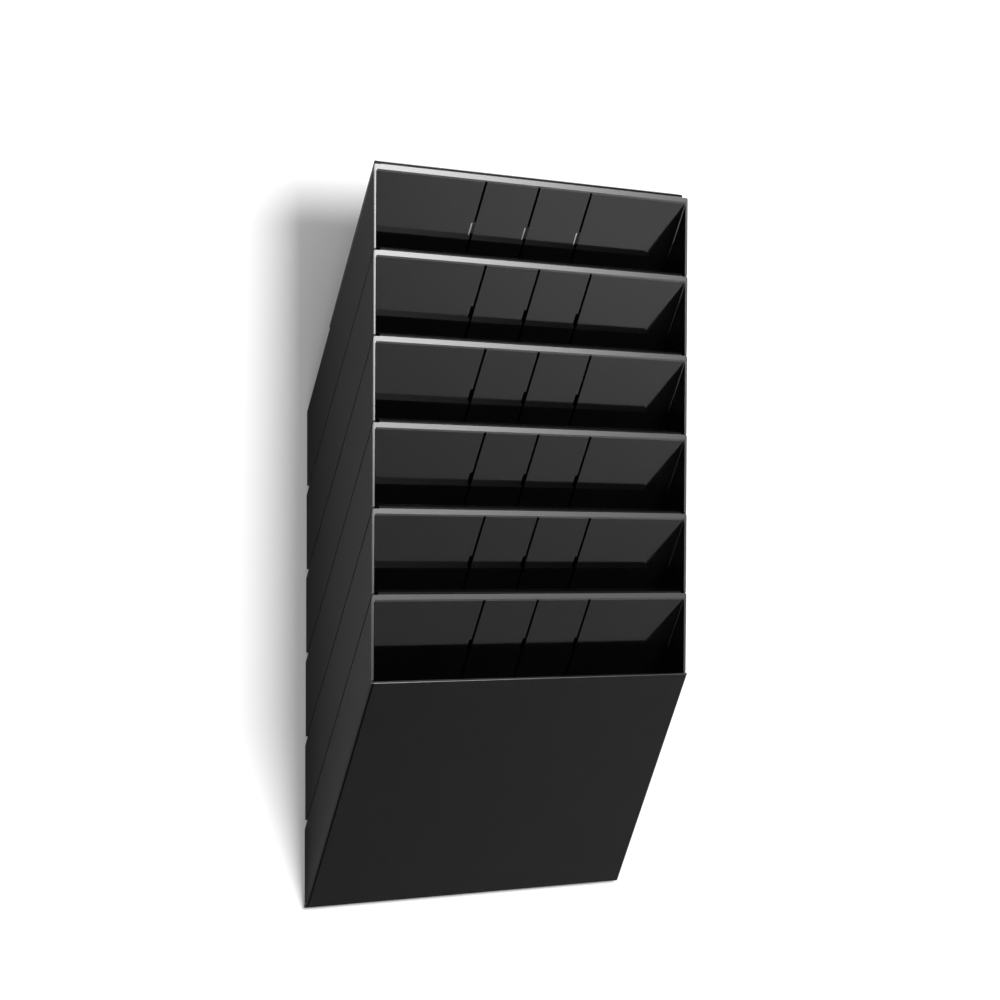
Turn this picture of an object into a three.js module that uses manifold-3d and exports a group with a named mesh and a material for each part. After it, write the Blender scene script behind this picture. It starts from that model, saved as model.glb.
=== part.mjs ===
// Wall rack of six tilted chart pockets that plug into each other, with a plate closing the lowest one.
// Millimetres. X runs along the wall, +Y into the wall, +Z up.
// The origin lies on the wall plane, midway between the two screws of the top pocket.
import * as THREE from "three";
import { mergeVertices } from "three/addons/utils/BufferGeometryUtils.js";
import Module from "manifold-3d";

// Whole rack
const pocketCount = 6;
const rackWidth = 340;
const rackDepth = 100; // from the wall to the plane of the front edges
const pocketPitch = 71; // one pocket to the next, straight down the wall
const slopeDrop = 199; // fall of a panel from the front plane to the wall
const seamGap = 0.7; // between a pocket's walls and the panel below, square to the panel

// One pocket moulding
const panelThickness = 1.8;
const wallThickness = 2.3;
const wallDraft = 0.5; // how far the lower edge of a side wall leans in
const cornerFillet = 1.2; // inside corner between panel and side wall
const edgeRadius = 1.2; // outside corner between panel and side wall
const backThickness = 2.6;
const tipCut = 6.5; // blunt lower tip of the walls, above the meeting of wall and next panel

// Collar on top of each panel, which the pocket above slips over
const collarInset = 6.6; // from the side of the rack to the outside of the collar
const collarRun = 150; // length of the collar's sides down the slope
const collarThickness = 1.8;
const lipFlush = 1.2; // flat front face of the lip above the panel's edge
const lipRadius = 1.2;
const lipDepth = 9.4; // from the front plane to the back edge of the lip
const lipTilt = THREE.MathUtils.degToRad(12.5);
const lipThickness = 1.9; // at its back edge
const lipRoot = 1.5; // from the front plane to where the underside meets the panel
const bossCount = 3; // locating bosses on each side of the collar
const bossStart = 22; // first boss, from the front edge down the slope
const bossPitch = 50;
const bossLength = 12;
const bossHeight = 6.5;
const bossLead = 2; // slant at the top of a boss that leads the wall down
const bossClearance = 0.3;

// Divider grooves in the face of each panel, with a raised channel behind them
const grooveWidth = 2.5;
const grooveReach = 1.5; // how far a groove goes in past the panel's upper face
const grooveStart = 4.6; // from the front edge down the slope
const grooveRun = 176;
const channelWall = 1.2;
const channelDraft = 0.25;
const grooveSpacing = 57.1;
const grooveShift = 2.5; // middle groove, to the right of the rack's middle
const windowWidth = 2.2;
const windowLength = 10.8;
const windowStart = 42.3; // from the front edge down the slope

// Plate that closes the lowest pocket
const coverThickness = 2.5;
const coverRadius = 1.6; // rounding of its outer edges
const coverRise = 3.2; // lower edge, above the meeting of its upper face with the wall
const footGap = 0.5; // between its foot and the lowest pocket's back plate
const coverRibStart = 20; // from its front edge down the slope to its ribs

// Wall screws
const screwInset = 50; // from the side of the rack
const screwDrop = 34; // below the meeting of panel and wall
const screwDiameter = 4;
const screwHoleDiameter = 4.6;
const headDiameter = 8;
const headHeight = 3;
const headEdge = 1; // straight rim of the head
const crownDiameter = 5; // nearly flat crown of the head
const crownDrop = 0.36; // from the middle of the crown to its rim
const headClearance = 0.3; // between head and back plate
const screwReach = 34; // length of the screw behind the wall plane
const screwPoint = 5; // length of its point
const recessWidth = 1.1;
const recessLength = 4.4;
const recessDepth = 1.4;

const rootSink = 0.3; // how far ribs and lips sink into a panel, so that they join it
const arcSegments = 6;
const roundSegments = 24;
const over = 5; // how far a cutting shape runs past what it cuts

// Directions and lengths that follow from the sizes above
const tilt = Math.atan2(rackDepth, slopeDrop); // lean of a panel from upright
const slopeLength = Math.hypot(rackDepth, slopeDrop);
const panelStep = pocketPitch * Math.sin(tilt); // one panel to the next, square to the panels
const wallReach = panelStep - seamGap;
const halfWidth = rackWidth / 2;
const screwPlaces = { left: screwInset - halfWidth, right: halfWidth - screwInset };
const frontTop = screwDrop + slopeDrop; // height of a panel's front edge in its pocket
const tipHeight = screwDrop - pocketPitch + tipCut;
const across = new THREE.Vector3(1, 0, 0);
const intoWall = new THREE.Vector3(0, 1, 0);
const upright = new THREE.Vector3(0, 0, 1);
const outOfPanel = new THREE.Vector3(0, Math.cos(tilt), Math.sin(tilt));
const upSlope = new THREE.Vector3(0, -Math.sin(tilt), Math.cos(tilt));
const frontEdge = new THREE.Vector3(0, -rackDepth, frontTop);
const lipRun = lipDepth - lipRadius * (1 - Math.sin(lipTilt)); // from the lip's rounding to its back edge
const lipRise = lipFlush + lipRadius * Math.cos(lipTilt) + lipRun * Math.tan(lipTilt);
const collarHeight = new THREE.Vector3(0, lipDepth, lipRise).dot(outOfPanel);

const wasm = await Module();
wasm.setup();

function toSolid(geometry) {
  const bare = geometry.index ? geometry.toNonIndexed() : geometry.clone();
  bare.deleteAttribute("normal");
  bare.deleteAttribute("uv");
  const merged = mergeVertices(bare);
  const mesh = new wasm.Mesh({
    numProp: 3,
    vertProperties: merged.attributes.position.array,
    triVerts: new Uint32Array(merged.index.array),
  });
  return new wasm.Manifold(mesh);
}

function toGeometry(solid) {
  const mesh = solid.getMesh();
  const geometry = new THREE.BufferGeometry();
  geometry.setAttribute("position", new THREE.BufferAttribute(mesh.vertProperties, 3));
  geometry.setIndex(new THREE.BufferAttribute(mesh.triVerts, 1));
  geometry.computeVertexNormals();
  return geometry;
}

function outline(points) {
  return new THREE.Shape(points.map(([a, b]) => new THREE.Vector2(a, b)));
}

// An outline whose corners are given as (across, up, radius of rounding).
function roundedOutline(corners) {
  const shape = new THREE.Shape();
  const last = corners.length - 1;
  corners.forEach(([a, b, radius], index) => {
    const corner = new THREE.Vector2(a, b);
    const before = new THREE.Vector2(...corners[index === 0 ? last : index - 1]).sub(corner).normalize();
    const after = new THREE.Vector2(...corners[index === last ? 0 : index + 1]).sub(corner).normalize();
    const setback = radius / Math.tan(Math.acos(before.dot(after)) / 2);
    const start = before.multiplyScalar(setback).add(corner);
    const end = after.multiplyScalar(setback).add(corner);
    if (index === 0) {
      shape.moveTo(start.x, start.y);
    } else {
      shape.lineTo(start.x, start.y);
    }
    if (radius > 0) {
      shape.quadraticCurveTo(a, b, end.x, end.y);
    }
  });
  return shape;
}

function extrude(section, depth) {
  return new THREE.ExtrudeGeometry(section, { depth, bevelEnabled: false, curveSegments: arcSegments });
}

// A section drawn as (along the wall, out of the panel), swept between two distances down the slope.
function sweepDownSlope(section, start, end) {
  const geometry = extrude(section, end - start);
  const placing = new THREE.Matrix4().makeBasis(across, outOfPanel, upSlope);
  placing.setPosition(frontEdge.clone().addScaledVector(upSlope, -end));
  return toSolid(geometry.applyMatrix4(placing));
}

// A profile drawn as (towards the wall, up), swept along the wall between two places.
function sweepAlongWall(profile, left, right) {
  const geometry = extrude(profile, right - left);
  const placing = new THREE.Matrix4().makeBasis(intoWall, upright, across);
  placing.setPosition(left, 0, 0);
  return toSolid(geometry.applyMatrix4(placing));
}

function rectangle(left, right, low, high) {
  return outline([
    [left, low],
    [right, low],
    [right, high],
    [left, high],
  ]);
}

// Full outer block of a pocket: the tapered section between front plane, wall plane and blunt tip.
function pocketBlock() {
  const section = roundedOutline([
    [-halfWidth, 0, edgeRadius],
    [-halfWidth + wallDraft, -wallReach, 0],
    [halfWidth - wallDraft, -wallReach, 0],
    [halfWidth, 0, edgeRadius],
  ]);
  const shift = wallReach / Math.tan(tilt);
  const wedge = sweepDownSlope(section, -over, slopeLength + shift + over);
  const trim = sweepAlongWall(rectangle(-rackDepth, 0, tipHeight, frontTop + over), -rackWidth, rackWidth);
  return wedge.intersect(trim);
}

// Space inside a pocket, open at the front and below, ending at the back plate.
function pocketSpace() {
  const low = -wallReach - over;
  const half = halfWidth - wallThickness;
  const lean = (wallDraft * -low) / wallReach;
  const section = roundedOutline([
    [-half + lean, low, 0],
    [half - lean, low, 0],
    [half, -panelThickness, cornerFillet],
    [-half, -panelThickness, cornerFillet],
  ]);
  const shift = -low / Math.tan(tilt);
  const space = sweepDownSlope(section, -over, slopeLength + shift + over);
  const inFront = rectangle(-rackDepth - over, -backThickness, tipHeight - over, frontTop + over);
  return space.intersect(sweepAlongWall(inFront, -rackWidth, rackWidth));
}

// Front lip of the collar: a flush face, a rounded edge and a top that rises towards the back.
function collarLip() {
  const front = -rackDepth;
  const backTop = frontTop + lipRise;
  const underDepth = lipDepth + lipThickness * Math.sin(lipTilt);
  const underHeight = backTop - lipThickness * Math.cos(lipTilt);
  const fall = slopeDrop / rackDepth;
  const sunk = frontTop - rootSink / Math.sin(tilt);
  const profile = new THREE.Shape();
  profile.moveTo(front, sunk);
  profile.lineTo(front + lipRoot, sunk - lipRoot * fall);
  profile.lineTo(front + underDepth, underHeight);
  profile.lineTo(front + lipDepth, backTop);
  profile.absarc(front + lipRadius, frontTop + lipFlush, lipRadius, Math.PI / 2 + lipTilt, Math.PI, false);
  const reach = halfWidth - collarInset;
  return sweepAlongWall(profile, -reach, reach);
}

// One side of the collar with its locating bosses; side is -1 on the left and 1 on the right.
function collarSide(side, start) {
  const outer = halfWidth - collarInset;
  const ribSection = outline([
    [side * outer, -rootSink],
    [side * outer, collarHeight],
    [side * (outer - collarThickness), collarHeight],
    [side * (outer - collarThickness), -rootSink],
  ]);
  let solid = sweepDownSlope(ribSection, start, collarRun);
  const tip = halfWidth - wallDraft - wallThickness - bossClearance;
  const bossSection = outline([
    [side * (outer - collarThickness / 2), -rootSink],
    [side * tip, -rootSink],
    [side * tip, bossHeight - bossLead],
    [side * (outer - collarThickness / 2), bossHeight],
  ]);
  for (let index = 0; index < bossCount; index += 1) {
    const bossPlace = bossStart + index * bossPitch;
    solid = solid.add(sweepDownSlope(bossSection, bossPlace, bossPlace + bossLength));
  }
  return solid;
}

// Raised channel behind one divider groove, cut by the groove and by a window that opens it on one side.
function cutGroove(solid, middle) {
  const roof = grooveReach + channelWall;
  const half = grooveWidth / 2 + channelWall;
  const end = grooveStart + grooveRun;
  const channel = outline([
    [middle - half, -rootSink],
    [middle + half, -rootSink],
    [middle + half - channelDraft, roof],
    [middle - half + channelDraft, roof],
  ]);
  const left = middle - grooveWidth / 2;
  const groove = rectangle(left, left + grooveWidth, -panelThickness - over, grooveReach);
  const gap = rectangle(left - windowWidth, left + grooveWidth, -panelThickness - over, roof + over);
  return solid
    .add(sweepDownSlope(channel, grooveStart - channelWall, end + channelWall))
    .subtract(sweepDownSlope(groove, grooveStart, end))
    .subtract(sweepDownSlope(gap, windowStart, windowStart + windowLength));
}

function screwHole(place) {
  const radius = screwHoleDiameter / 2;
  const geometry = new THREE.CylinderGeometry(radius, radius, 2 * backThickness + over, roundSegments);
  return toSolid(geometry.translate(place, 0, 0));
}

function makePocket() {
  let solid = pocketBlock().subtract(pocketSpace()).add(collarLip());
  for (const side of [-1, 1]) {
    solid = solid.add(collarSide(side, lipThickness / 2));
  }
  for (const step of [-1, 0, 1]) {
    solid = cutGroove(solid, grooveShift + step * grooveSpacing);
  }
  for (const place of Object.values(screwPlaces)) {
    solid = solid.subtract(screwHole(place));
  }
  return toGeometry(solid);
}

// Side view of the cover's plate, with a foot that closes the gap under the lowest back plate.
function coverProfile() {
  const along = (distance, out) => {
    const point = frontEdge.clone().addScaledVector(upSlope, -distance).addScaledVector(outOfPanel, out);
    return [point.y, point.z];
  };
  const fall = slopeDrop / rackDepth;
  const low = screwDrop + coverRise;
  const footTop = screwDrop + tipCut - footGap;
  const lowestOuter = -(coverRise + coverThickness / Math.sin(tilt)) / fall;
  return roundedOutline([
    [...along(0, 0), 0],
    [...along(0, -coverThickness), coverRadius],
    [lowestOuter, low, coverRadius],
    [0, low, 0],
    [0, footTop, 0],
    [(screwDrop - footTop) / fall, footTop, 0],
  ]);
}

function makeCover() {
  const thick = 2 * coverThickness + over;
  const section = roundedOutline([
    [-halfWidth, thick, 0],
    [-halfWidth, -coverThickness, coverRadius],
    [halfWidth, -coverThickness, coverRadius],
    [halfWidth, thick, 0],
  ]);
  const plate = sweepDownSlope(section, -over, slopeLength + over);
  let solid = plate.intersect(sweepAlongWall(coverProfile(), -rackWidth, rackWidth));
  for (const side of [-1, 1]) {
    solid = solid.add(collarSide(side, coverRibStart));
  }
  return toGeometry(solid);
}

function makeScrew() {
  const seat = -backThickness - headClearance;
  const shank = screwDiameter / 2;
  const head = headDiameter / 2;
  const profile = [
    [0, screwReach],
    [shank, screwReach - screwPoint],
    [shank, seat],
    [head, seat],
    [head, seat - headEdge],
    [crownDiameter / 2, seat - headHeight + crownDrop],
    [0, seat - headHeight],
  ];
  const turned = new THREE.LatheGeometry(
    profile.map(([radius, depth]) => new THREE.Vector2(radius, depth)).reverse(),
    roundSegments,
  );
  let solid = toSolid(turned);
  const low = seat - headHeight - over;
  const middle = (low + seat - headHeight + recessDepth) / 2;
  const deep = recessDepth + over;
  const bar = new THREE.BoxGeometry(recessLength, deep, recessWidth).translate(0, middle, 0);
  const crossBar = new THREE.BoxGeometry(recessWidth, deep, recessLength).translate(0, middle, 0);
  solid = solid.subtract(toSolid(bar)).subtract(toSolid(crossBar));
  return toGeometry(solid);
}

const plastic = { color: 0x0b0b0c, roughness: 0.25, metalness: 0 };
const steel = { color: 0xb9bcc0, roughness: 0.3, metalness: 1 };

function place(name, geometry, look, x, z) {
  const mesh = new THREE.Mesh(geometry, new THREE.MeshStandardMaterial(look));
  mesh.name = name;
  mesh.position.set(x, 0, z);
  return mesh;
}

const rack = new THREE.Group();
const pocketGeometry = makePocket();
const screwGeometry = makeScrew();
for (let index = 0; index < pocketCount; index += 1) {
  const name = `pocket_${index + 1}`;
  const height = -index * pocketPitch;
  rack.add(place(name, pocketGeometry, plastic, 0, height));
  for (const [side, x] of Object.entries(screwPlaces)) {
    rack.add(place(`${name}_screw_${side}`, screwGeometry, steel, x, height));
  }
}
rack.add(place("front_cover", makeCover(), plastic, 0, -pocketCount * pocketPitch));

export default rack;
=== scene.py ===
"""Looks of the wall chart rack: moulded black plastic pockets, their cover plate and their screws."""

import math

import bmesh
import bpy
from mathutils import Matrix, Vector


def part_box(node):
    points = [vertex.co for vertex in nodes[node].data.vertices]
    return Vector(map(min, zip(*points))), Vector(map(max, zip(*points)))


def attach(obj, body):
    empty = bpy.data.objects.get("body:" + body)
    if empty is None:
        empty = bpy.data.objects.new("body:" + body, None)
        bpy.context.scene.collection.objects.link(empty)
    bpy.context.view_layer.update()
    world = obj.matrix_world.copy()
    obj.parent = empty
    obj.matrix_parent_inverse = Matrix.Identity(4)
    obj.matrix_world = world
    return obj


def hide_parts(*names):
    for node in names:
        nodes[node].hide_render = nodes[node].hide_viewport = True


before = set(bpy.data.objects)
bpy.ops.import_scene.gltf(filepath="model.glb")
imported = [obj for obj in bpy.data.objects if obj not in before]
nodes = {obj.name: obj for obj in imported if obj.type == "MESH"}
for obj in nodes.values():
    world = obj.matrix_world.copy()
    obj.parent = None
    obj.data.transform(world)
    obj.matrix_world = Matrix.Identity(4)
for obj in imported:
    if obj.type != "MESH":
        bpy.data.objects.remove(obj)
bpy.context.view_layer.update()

MM = 0.001

# Camera that matches the photograph
IMAGE_WIDTH = 1000.0
SENSOR_WIDTH = 36.0
FOCAL_PIXELS = 2678.3
AXIS_BELOW_CENTRE = 20.0
CAMERA_PLACE = Vector((-1.4030, -1.9242, -0.0899))
CAMERA_YAW = math.radians(36.785)
CAMERA_PITCH = math.radians(0.780)
CAMERA_ROLL = math.radians(0.267)
CLIP_START = 0.05
CLIP_END = 50

# Sizes repeated from the solids
POCKETS = 6
POCKET_PITCH = 71 * MM
HALF_WIDTH = 170 * MM
BACK_LOW = -30.5 * MM
BACK_HIGH = 34 * MM
FRONT_PLANE = -100 * MM
FRONT_TOP = 233 * MM
PANEL_RUN = 100
PANEL_RISE = 199
PANEL_TILT = math.atan2(PANEL_RUN, PANEL_RISE)
PANEL_STEP = POCKET_PITCH * math.sin(PANEL_TILT)
SHANK_RADIUS = 2 * MM
SHANK_START = -2.9 * MM
POINT_START = 29 * MM
SCREW_END = 34 * MM

# Thread of the wall screws, a ridge on a tapering core that reaches the shank's radius
CORE_RADIUS = 1.35 * MM
THREAD_START = 4 * MM
THREAD_END = 33.2 * MM
THREAD_PITCH = 2.2 * MM
THREAD_HALF = 0.55 * MM
THREAD_HEIGHT = 0.65 * MM
THREAD_SINK = 0.1 * MM
THREAD_STEPS = 16
RIDGE_CORNERS = 3

# Rounding of the moulded edges
PLASTIC_BEVEL = 0.3 * MM
SCREW_BEVEL = 0.15 * MM
BEVEL_SEGMENTS = 2
BEVEL_ANGLE = math.radians(20)
FLAT_ANGLE = math.radians(1)
WELD_REACH = 0.001 * MM

# Zones of the plastic: skins and insets are measured in from an outer side, edges and lips back from
# the front plane, collars and seams square to the tilted panels
SIDE_SKIN = 1.1 * MM
EDGE_SKIN = 0.8 * MM
EDGE_END = 1.0 * MM
COLLAR_START = 0.12 * MM
COLLAR_END = 12 * MM
COLLAR_INSET = 6.5 * MM
LIP_END = 9.7 * MM
# Painted shade: a dark strip on the inner part of the left walls' front edges
LEFT_EDGE_SHADE_START = 1.9 * MM
LEFT_EDGE_SHADE_END = 4 * MM
LEFT_EDGE_SHADE_GAP = 2.6 * MM
# Painted shade: dark lines along the joints between the pockets, on their sides
SEAM_SHADE_SKIN = 2.0 * MM
SEAM_SHADE_OVER = 1.4 * MM
SEAM_SHADE_UNDER = 0.6 * MM
# Painted shade on the cover plate's rounded sides
COVER_SIDE_SHADE_SKIN = 1.2 * MM
COVER_TOP = FRONT_TOP - POCKETS * POCKET_PITCH - 1.9 * MM

# Black plastic: ranges of roughness, and tints of the reflection, as ramps from one height to another; the
# ramps are painted shade, darker towards the bottom of the panels and towards the top of the sides
DEEP_BLACK = (0.0012, 0.0012, 0.0014)
PALE_BLACK = (0.0022, 0.0022, 0.0024)
PLASTIC_IOR = 1.45
EDGE_COAT_IOR = 1.6
EDGE_COAT_ROUGHNESS = 0.28
POLISHED = (0.065, 0.105)
SATIN = (0.16, 0.2)
DULL = (0.24, 0.28)
COVER_SATIN = (0.15, 0.21)
LIP_ROUGHNESS = 0.3
PANEL_SHADE_RAMP = (-220 * MM, 130 * MM, 0.66, 1.0)
SIDE_SHADE_RAMP = (-180 * MM, 80 * MM, 0.3, 0.08)
# Painted shade: the lips' reflection is dimmed
LIP_SHADED_SHINE = 0.1
COVER_SHINE = 0.38
NO_SHINE = 0.0

# Zinc-plated steel
DARK_ZINC = (0.55, 0.56, 0.58)
PALE_ZINC = (0.72, 0.72, 0.71)
ZINC_ROUGHNESS = (0.22, 0.4)

# Noise patterns as scale and detail, the part of their range that is used, and depths of relief
NOISE_LOW = 0.3
NOISE_HIGH = 0.7
POCKET_CLOUD = (22.0, 3.0)
POCKET_GRAIN = (2600.0, 2.0)
POCKET_FLOW = (45.0, 1.0)
COVER_CLOUD = (18.0, 3.0)
COVER_GRAIN = (2400.0, 2.0)
STEEL_CLOUD = (900.0, 3.0)
STEEL_TURNING = (6000.0, 1.0)
STAGE_CLOUD = (1.5, 2.0)
FLOW_DEPTH = 0.02 * MM
POCKET_GRAIN_DEPTH = 0.01 * MM
COVER_GRAIN_DEPTH = 0.02 * MM
TURNING_DEPTH = 0.01 * MM

# Stage
FLOOR_HEIGHT = -1.8
WALL_GAP = 0.6 * MM
WALL_TOP = 4.0
ROOM_REACH = 6.0
HOLE_MARGIN = 2 * MM
WALL_COLOUR = (0.86, 0.86, 0.86)
FLOOR_COLOUR = (0.42, 0.42, 0.42)
STAGE_CLOUD_SHADE = 0.985
STAGE_ROUGHNESS = 0.9
STAGE_SPECULAR = 0.1

# Lights: place, point aimed at, width, height and radiance
RACK_MIDDLE = (0, -0.1, 0.0)
LIGHTS = {
    "key_light": ((0.797, -2.482, 0.703), RACK_MIDDLE, 1.65, 1.25, 12.5),
    "fill_light": ((-2.0, -2.6, 0.6), RACK_MIDDLE, 1.8, 1.8, 1.95),
    "left_light": ((-3.0, -0.45, -0.3), (0, -0.45, -0.3), 0.8, 1.7, 7.5),
    "right_light": ((3.0, -0.45, -0.3), (0, -0.45, -0.3), 0.8, 1.7, 5.0),
    "low_light": ((2.2, -2.5, -0.3), (-0.3, 0.0, -0.3), 1.0, 0.8, 0.85),
    "floor_light": ((2.5, -2.35, -0.7), (2.5, -2.35, -1.0), 0.9, 0.9, 15.3),
    "top_light": ((0.0, -1.6, 2.4), RACK_MIDDLE, 3.0, 2.0, 0.3),
    "rear_light": ((-1.2, 2.4, 1.2), RACK_MIDDLE, 1.6, 1.6, 3.5),
    "back_light": ((0.0, 4.0, -0.4), (0.0, 0.0, -0.4), 9.0, 2.2, 0.8),
}
WORLD_COLOUR = (1, 1, 1, 1)
WORLD_STRENGTH = 0.25


def make_camera():
    forward = Vector((
        math.sin(CAMERA_YAW) * math.cos(CAMERA_PITCH),
        math.cos(CAMERA_YAW) * math.cos(CAMERA_PITCH),
        math.sin(CAMERA_PITCH),
    ))
    right = Vector((math.cos(CAMERA_YAW), -math.sin(CAMERA_YAW), 0))
    up = right.cross(forward)
    turned_right = right * math.cos(CAMERA_ROLL) + up * math.sin(CAMERA_ROLL)
    turned_up = up * math.cos(CAMERA_ROLL) - right * math.sin(CAMERA_ROLL)
    data = bpy.data.cameras.new("camera")
    data.sensor_width = SENSOR_WIDTH
    data.lens = FOCAL_PIXELS / IMAGE_WIDTH * SENSOR_WIDTH
    data.shift_y = AXIS_BELOW_CENTRE / IMAGE_WIDTH
    data.clip_start = CLIP_START
    data.clip_end = CLIP_END
    camera = bpy.data.objects.new("camera", data)
    axes = Matrix((turned_right, turned_up, -forward)).transposed()
    camera.matrix_world = Matrix.Translation(CAMERA_PLACE) @ axes.to_4x4()
    bpy.context.scene.collection.objects.link(camera)
    bpy.context.scene.camera = camera


class Nodes:
    """Short way to build a material's node tree."""

    def __init__(self, name):
        self.material = bpy.data.materials.new(name)
        self.material.use_nodes = True
        self.tree = self.material.node_tree
        self.shader = self.tree.nodes["Principled BSDF"]
        self.place = self.add("ShaderNodeTexCoord").outputs["Object"]

    def add(self, kind, **settings):
        node = self.tree.nodes.new(kind)
        for name, value in settings.items():
            setattr(node, name, value)
        return node

    def link(self, source, target):
        self.tree.links.new(source, target)

    def feed(self, socket, value):
        if isinstance(value, bpy.types.NodeSocket):
            self.link(value, socket)
        else:
            socket.default_value = value

    def dress(self, **values):
        """Sets sockets of the shader, named with underscores for spaces."""
        for name, value in values.items():
            self.feed(self.shader.inputs[name.replace("_", " ")], value)

    def split(self):
        node = self.add("ShaderNodeSeparateXYZ")
        self.link(self.place, node.inputs[0])
        return node.outputs

    def noise(self, scale, detail):
        node = self.add("ShaderNodeTexNoise")
        self.link(self.place, node.inputs["Vector"])
        node.inputs["Scale"].default_value = scale
        node.inputs["Detail"].default_value = detail
        return node.outputs["Fac"]

    def math(self, operation, first, second=0.0):
        node = self.add("ShaderNodeMath", operation=operation)
        self.feed(node.inputs[0], first)
        self.feed(node.inputs[1], second)
        return node.outputs[0]

    def over(self, value, limit):
        return self.math("GREATER_THAN", value, limit)

    def under(self, value, limit):
        return self.math("LESS_THAN", value, limit)

    def both(self, first, second):
        return self.math("MULTIPLY", first, second)

    def either(self, first, second):
        return self.math("MAXIMUM", first, second)

    def rest(self, share):
        return self.math("SUBTRACT", 1.0, share)

    def between(self, value, low, high):
        return self.both(self.over(value, low), self.under(value, high))

    def mix(self, share, first, second):
        return self.math("ADD", self.math("MULTIPLY", share, second),
                         self.math("MULTIPLY", self.rest(share), first))

    def ramp(self, value, low, high, first, second):
        node = self.add("ShaderNodeMapRange")
        self.link(value, node.inputs["Value"])
        node.inputs["From Min"].default_value = low
        node.inputs["From Max"].default_value = high
        node.inputs["To Min"].default_value = first
        node.inputs["To Max"].default_value = second
        return node.outputs["Result"]

    def spread(self, noise, low, high):
        return self.ramp(noise, NOISE_LOW, NOISE_HIGH, low, high)

    def blend_colours(self, share, first, second):
        node = self.add("ShaderNodeMix", data_type="RGBA")
        self.link(share, node.inputs["Factor"])
        node.inputs["A"].default_value = (*first, 1)
        node.inputs["B"].default_value = (*second, 1)
        return node.outputs["Result"]

    def bump(self, height, distance, strength=1.0):
        node = self.add("ShaderNodeBump")
        node.inputs["Distance"].default_value = distance
        self.feed(node.inputs["Strength"], strength)
        self.link(height, node.inputs["Height"])
        return node


def dress_plastic(n, cloud, roughness, shine_and_shade, bright, relief):
    """Fills the shader of a black plastic, which has a coat where its front edges are bright."""
    n.dress(
        Base_Color=n.blend_colours(cloud, DEEP_BLACK, PALE_BLACK),
        Roughness=roughness,
        IOR=PLASTIC_IOR,
        # The reflection tint carries the painted shade of the plastic
        Specular_Tint=shine_and_shade,
        Coat_Weight=bright,
        Coat_Roughness=EDGE_COAT_ROUGHNESS,
        Coat_IOR=EDGE_COAT_IOR,
        Normal=relief.outputs["Normal"],
    )


def pocket_plastic():
    """Black polystyrene: polished in the pockets, duller on sides and front edges, with painted shade along
    the seams, on the inner part of the left front edges, on the lips, towards the bottom of the panels and
    towards the top of the sides.
    """
    n = Nodes("pocket_plastic")
    x, y, z = n.split()
    off = n.math("ABSOLUTE", x)
    behind_front = n.math("SUBTRACT", y, FRONT_PLANE)
    over_top = n.math("SUBTRACT", z, FRONT_TOP)
    over_first_panel = n.math("ADD", n.math("MULTIPLY", behind_front, math.cos(PANEL_TILT)),
                              n.math("MULTIPLY", over_top, math.sin(PANEL_TILT)))
    over_panel = n.math("FLOORED_MODULO", over_first_panel, PANEL_STEP)

    side = n.over(off, HALF_WIDTH - SIDE_SKIN)
    edge = n.under(y, FRONT_PLANE + EDGE_SKIN)
    collar = n.both(n.between(over_panel, COLLAR_START, COLLAR_END),
                    n.under(off, HALF_WIDTH - COLLAR_INSET))
    lip = n.both(collar, n.under(y, FRONT_PLANE + LIP_END))
    # Painted shade: the inner part of the left walls' front edges loses its reflection and its coat, so it
    # shows dark
    left_strip = n.between(x, LEFT_EDGE_SHADE_START - HALF_WIDTH, LEFT_EDGE_SHADE_END - HALF_WIDTH)
    left_edge_shade = n.both(left_strip, n.both(edge, n.under(over_panel, PANEL_STEP - LEFT_EDGE_SHADE_GAP)))
    bright = n.both(edge, n.rest(n.either(collar, left_edge_shade)))
    # Painted shade: the reflection is taken off the sides along the joints between the pockets, so they
    # show dark lines
    near_panel = n.rest(n.between(over_panel, SEAM_SHADE_OVER, PANEL_STEP - SEAM_SHADE_UNDER))
    behind_edge = n.over(y, FRONT_PLANE + EDGE_END)
    seam_shade = n.both(n.both(near_panel, behind_edge), n.over(off, HALF_WIDTH - SEAM_SHADE_SKIN))

    cloud = n.noise(*POCKET_CLOUD)
    grain = n.noise(*POCKET_GRAIN)
    inner = n.mix(lip, n.spread(cloud, *POLISHED), LIP_ROUGHNESS)
    outer = n.mix(side, inner, n.spread(cloud, *SATIN))
    roughness = n.mix(edge, outer, n.spread(grain, *DULL))
    # Painted shade: the reflection tint ramps darker towards the bottom of the panels and towards the top
    # of the sides
    shine_with_shade_ramps = n.mix(side, n.ramp(z, *PANEL_SHADE_RAMP), n.ramp(z, *SIDE_SHADE_RAMP))
    # Painted shade: the lips' reflection is dimmed, and seams and left edge strips get none
    shine_and_shade = n.mix(n.either(seam_shade, left_edge_shade), n.mix(lip, shine_with_shade_ramps, LIP_SHADED_SHINE), NO_SHINE)
    wave = n.bump(n.noise(*POCKET_FLOW), FLOW_DEPTH)
    fine = n.bump(grain, POCKET_GRAIN_DEPTH, side)
    n.link(wave.outputs["Normal"], fine.inputs["Normal"])
    dress_plastic(n, cloud, roughness, shine_and_shade, bright, fine)
    return n.material


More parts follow.
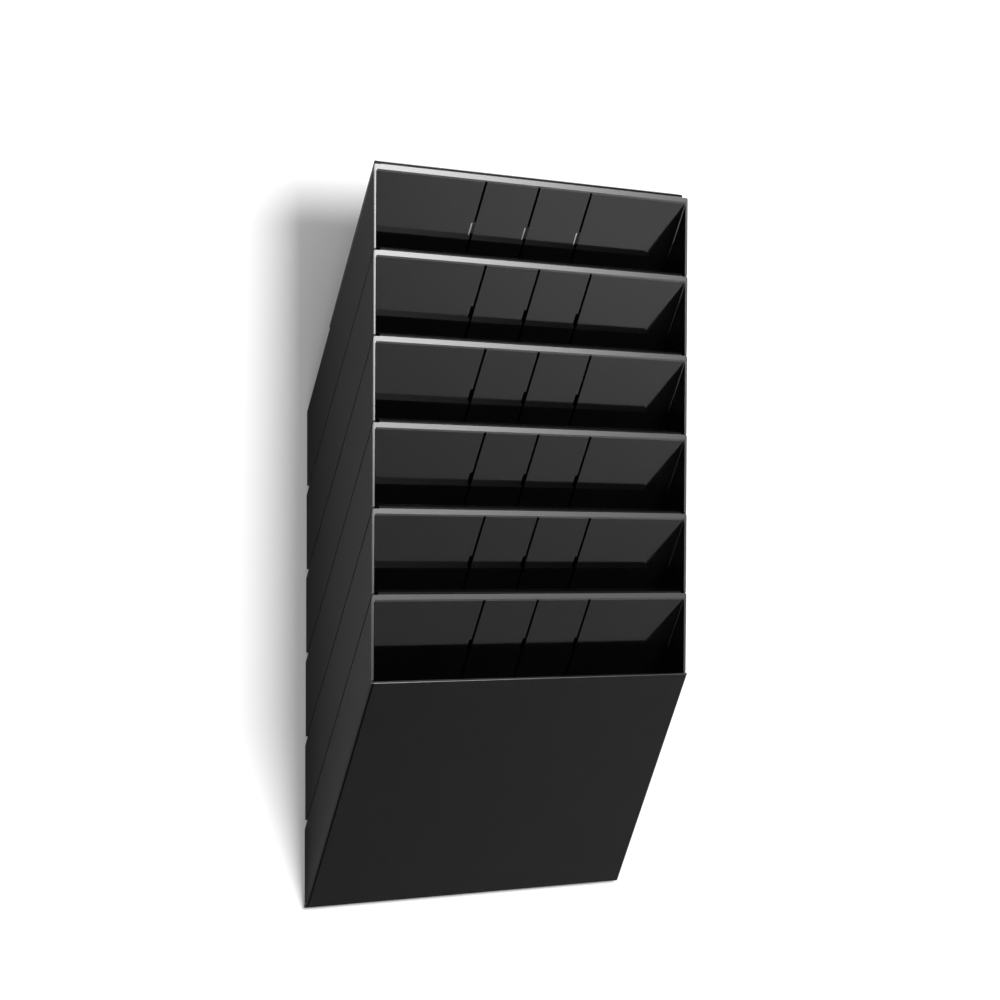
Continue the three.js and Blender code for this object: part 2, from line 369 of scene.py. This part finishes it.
def cover_plastic():
    """Black polystyrene with the fine satin grain of the closing plate, and painted shade on its rounded
    sides.
    """
    n = Nodes("cover_plastic")
    x, y, z = n.split()
    cloud = n.noise(*COVER_CLOUD)
    grain = n.noise(*COVER_GRAIN)
    # Painted shade: the plate's rounded sides get no reflection, so they show dark
    round_side_shade = n.over(n.math("ABSOLUTE", x), HALF_WIDTH - COVER_SIDE_SHADE_SKIN)
    shine_and_shade = n.mix(round_side_shade, COVER_SHINE, NO_SHINE)
    bright = n.both(n.over(z, COVER_TOP), n.under(y, FRONT_PLANE + EDGE_SKIN))
    fine = n.bump(grain, COVER_GRAIN_DEPTH)
    dress_plastic(n, cloud, n.spread(grain, *COVER_SATIN), shine_and_shade, bright, fine)
    return n.material


def screw_steel():
    """Zinc-plated steel with fine turning marks."""
    n = Nodes("screw_steel")
    turning = n.noise(*STEEL_TURNING)
    n.dress(
        Base_Color=n.blend_colours(n.noise(*STEEL_CLOUD), DARK_ZINC, PALE_ZINC),
        Metallic=1.0,
        Roughness=n.spread(turning, *ZINC_ROUGHNESS),
        Normal=n.bump(turning, TURNING_DEPTH).outputs["Normal"],
    )
    return n.material


def soften(obj, width):
    """Rounds the moulded edges of a solid with modifiers, so its own mesh stays as it is."""
    weld = obj.modifiers.new("weld", "WELD")
    weld.merge_threshold = WELD_REACH
    flat = obj.modifiers.new("flat", "DECIMATE")
    flat.decimate_type = "DISSOLVE"
    flat.angle_limit = FLAT_ANGLE
    bevel = obj.modifiers.new("edge", "BEVEL")
    bevel.width = width
    bevel.segments = BEVEL_SEGMENTS
    bevel.limit_method = "ANGLE"
    bevel.angle_limit = BEVEL_ANGLE
    bevel.use_clamp_overlap = True
    bevel.harden_normals = True


def dress(obj, material, width):
    obj.data.materials.clear()
    obj.data.materials.append(material)
    soften(obj, width)


def core_radius(depth):
    """Radius of a screw's core: a taper to the start of its point, and a cone from there."""
    if depth > POINT_START:
        return CORE_RADIUS * (SCREW_END - depth) / (SCREW_END - POINT_START)
    share = (depth - SHANK_START) / (POINT_START - SHANK_START)
    return SHANK_RADIUS + (CORE_RADIUS - SHANK_RADIUS) * share


def add_piece(name, mesh):
    obj = bpy.data.objects.new(name, mesh)
    bpy.context.scene.collection.objects.link(obj)
    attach(obj, "root")
    return obj


def make_screw_body(name, axis_x, axis_z):
    """The screw's solid with its shank turned down to a tapering core."""
    mesh = nodes[name].data.copy()
    for vertex in mesh.vertices:
        off_x, off_z = vertex.co.x - axis_x, vertex.co.z - axis_z
        radius = math.hypot(off_x, off_z)
        if vertex.co.y > THREAD_START and radius > CORE_RADIUS:
            vertex.co.x = axis_x + off_x * CORE_RADIUS / radius
            vertex.co.z = axis_z + off_z * CORE_RADIUS / radius
    body = add_piece(name + "_body", mesh)
    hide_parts(name)
    return body


def make_screw_thread(name, axis_x, axis_z):
    """One helical ridge from the smooth neck to the point."""
    count = round((THREAD_END - THREAD_START) / THREAD_PITCH * THREAD_STEPS)
    points = []
    for step in range(count + 1):
        depth = THREAD_START + (THREAD_END - THREAD_START) * step / count
        turn = 2 * math.pi * step / THREAD_STEPS
        core = core_radius(depth)
        crest = min(SHANK_RADIUS, core + THREAD_HEIGHT)
        root = core - THREAD_SINK
        for radius, along in ((root, -THREAD_HALF), (crest, 0), (root, THREAD_HALF)):
            across, rise = radius * math.cos(turn), radius * math.sin(turn)
            points.append((axis_x + across, depth + along, axis_z + rise))
    last = RIDGE_CORNERS * count
    faces = [(0, 1, 2), (last + 2, last + 1, last)]
    for start in range(0, last, RIDGE_CORNERS):
        for corner in range(RIDGE_CORNERS):
            here, beside = start + corner, start + (corner + 1) % RIDGE_CORNERS
            faces.append((here, here + RIDGE_CORNERS, beside + RIDGE_CORNERS, beside))
    mesh = bpy.data.meshes.new(name + "_thread")
    mesh.from_pydata(points, [], faces)
    form = bmesh.new()
    form.from_mesh(mesh)
    bmesh.ops.recalc_face_normals(form, faces=form.faces)
    form.to_mesh(mesh)
    form.free()
    return add_piece(name + "_thread", mesh)


def dress_screw(name, steel):
    low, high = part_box(name)
    axis_x, axis_z = (low.x + high.x) / 2, (low.z + high.z) / 2
    dress(make_screw_body(name, axis_x, axis_z), steel, SCREW_BEVEL)
    make_screw_thread(name, axis_x, axis_z).data.materials.append(steel)


def dress_rack():
    plastic = pocket_plastic()
    cover = cover_plastic()
    steel = screw_steel()
    for name, obj in nodes.items():
        if "screw" in name:
            dress_screw(name, steel)
        elif name == "front_cover":
            dress(obj, cover, PLASTIC_BEVEL)
        else:
            dress(obj, plastic, PLASTIC_BEVEL)


def stage_material(name, colour):
    n = Nodes(name)
    shaded = [channel * STAGE_CLOUD_SHADE for channel in colour]
    n.dress(
        Base_Color=n.blend_colours(n.noise(*STAGE_CLOUD), shaded, colour),
        Roughness=STAGE_ROUGHNESS,
        Specular_IOR_Level=STAGE_SPECULAR,
    )
    return n


def wall_material():
    """Wall paint that is clear from behind, so the rack's back can be seen through it."""
    n = stage_material("stage_wall", WALL_COLOUR)
    clear = n.add("ShaderNodeBsdfTransparent")
    choose = n.add("ShaderNodeMixShader")
    n.link(n.add("ShaderNodeNewGeometry").outputs["Backfacing"], choose.inputs["Fac"])
    n.link(n.shader.outputs["BSDF"], choose.inputs[1])
    n.link(clear.outputs["BSDF"], choose.inputs[2])
    n.link(choose.outputs["Shader"], n.tree.nodes["Material Output"].inputs["Surface"])
    return n.material


def add_stage(name, quads, material):
    points = [corner for quad in quads for corner in quad]
    faces = [tuple(range(start, start + 4)) for start in range(0, len(points), 4)]
    mesh = bpy.data.meshes.new(name)
    mesh.from_pydata(points, [], faces)
    mesh.materials.append(material)
    obj = bpy.data.objects.new(name, mesh)
    bpy.context.scene.collection.objects.link(obj)


def wall_quad(left, right, low, high):
    return [(left, WALL_GAP, low), (right, WALL_GAP, low),
            (right, WALL_GAP, high), (left, WALL_GAP, high)]


def make_stage():
    """A grey floor and a pale wall that is left open behind the back plates, where the rack hides it."""
    reach = HALF_WIDTH - HOLE_MARGIN
    quads = [
        wall_quad(-ROOM_REACH, -reach, FLOOR_HEIGHT, WALL_TOP),
        wall_quad(reach, ROOM_REACH, FLOOR_HEIGHT, WALL_TOP),
    ]
    above = WALL_TOP
    for index in range(POCKETS):
        down = -index * POCKET_PITCH
        quads.append(wall_quad(-reach, reach, BACK_HIGH + down - HOLE_MARGIN, above))
        above = BACK_LOW + down + HOLE_MARGIN
    quads.append(wall_quad(-reach, reach, FLOOR_HEIGHT, above))
    add_stage("stage_wall", quads, wall_material())
    floor = [
        (-ROOM_REACH, -ROOM_REACH, FLOOR_HEIGHT), (ROOM_REACH, -ROOM_REACH, FLOOR_HEIGHT),
        (ROOM_REACH, ROOM_REACH, FLOOR_HEIGHT), (-ROOM_REACH, ROOM_REACH, FLOOR_HEIGHT),
    ]
    add_stage("stage_floor", [floor], stage_material("stage_floor", FLOOR_COLOUR).material)


def area_light(name, place, target, width, height, radiance):
    data = bpy.data.lights.new(name, "AREA")
    data.shape = "RECTANGLE"
    data.size = width
    data.size_y = height
    data.energy = radiance * math.pi * width * height
    obj = bpy.data.objects.new(name, data)
    obj.location = place
    obj.rotation_euler = (Vector(target) - Vector(place)).to_track_quat("-Z", "Y").to_euler()
    obj.visible_camera = False
    bpy.context.scene.collection.objects.link(obj)


def make_lights():
    for name, values in LIGHTS.items():
        area_light(name, *values)
    world = bpy.data.worlds.new("studio")
    world.use_nodes = True
    background = world.node_tree.nodes["Background"]
    background.inputs["Color"].default_value = WORLD_COLOUR
    background.inputs["Strength"].default_value = WORLD_STRENGTH
    bpy.context.scene.world = world


make_camera()
dress_rack()
make_stage()
make_lights()
bpy.context.scene.view_settings.view_transform = "Standard"
